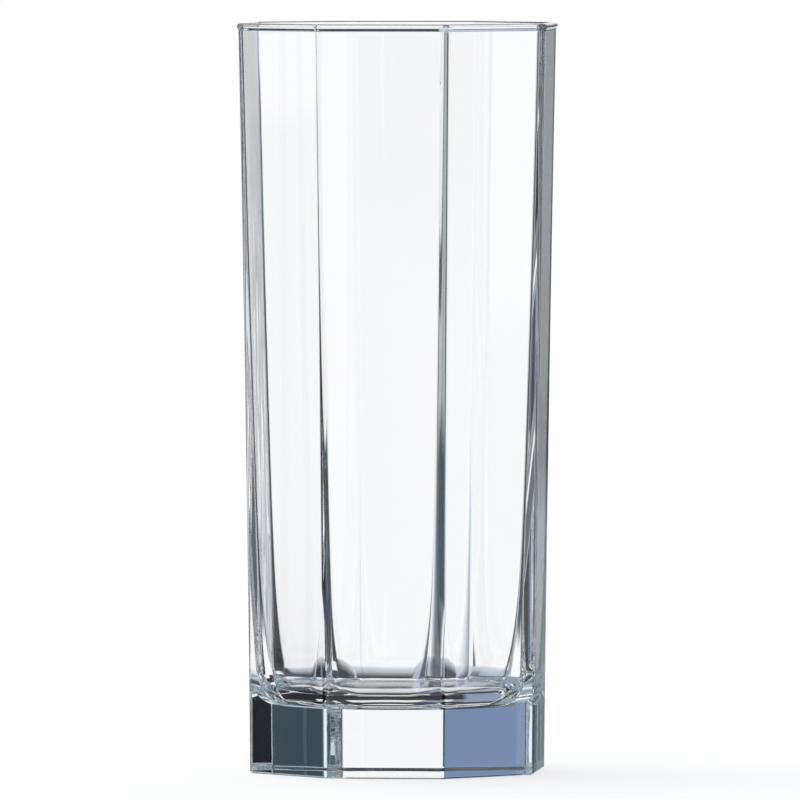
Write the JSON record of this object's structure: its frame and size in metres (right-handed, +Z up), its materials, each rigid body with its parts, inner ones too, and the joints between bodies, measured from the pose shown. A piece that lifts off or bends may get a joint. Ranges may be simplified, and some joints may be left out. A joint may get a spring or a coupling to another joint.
{
  "type": "juice glass",
  "caption": "Tall octagonal pressed-glass tumbler with a thick solid foot, flat sides drawn in towards the base and a rounded lip, for drinking juice",
  "frame": {"origin": "middle of the flat standing face, on the axis of the glass", "axes": "+Z runs up the axis of the glass from the foot to the rim; two opposite flat sides face along X and two along Y"},
  "size_m": [0.058, 0.058, 0.14],
  "materials": {
    "clear_glass": "clear, fire-polished"
  },
  "bodies": {
    "root": {"tumbler": "clear_glass"}
  },
  "joints": []
}
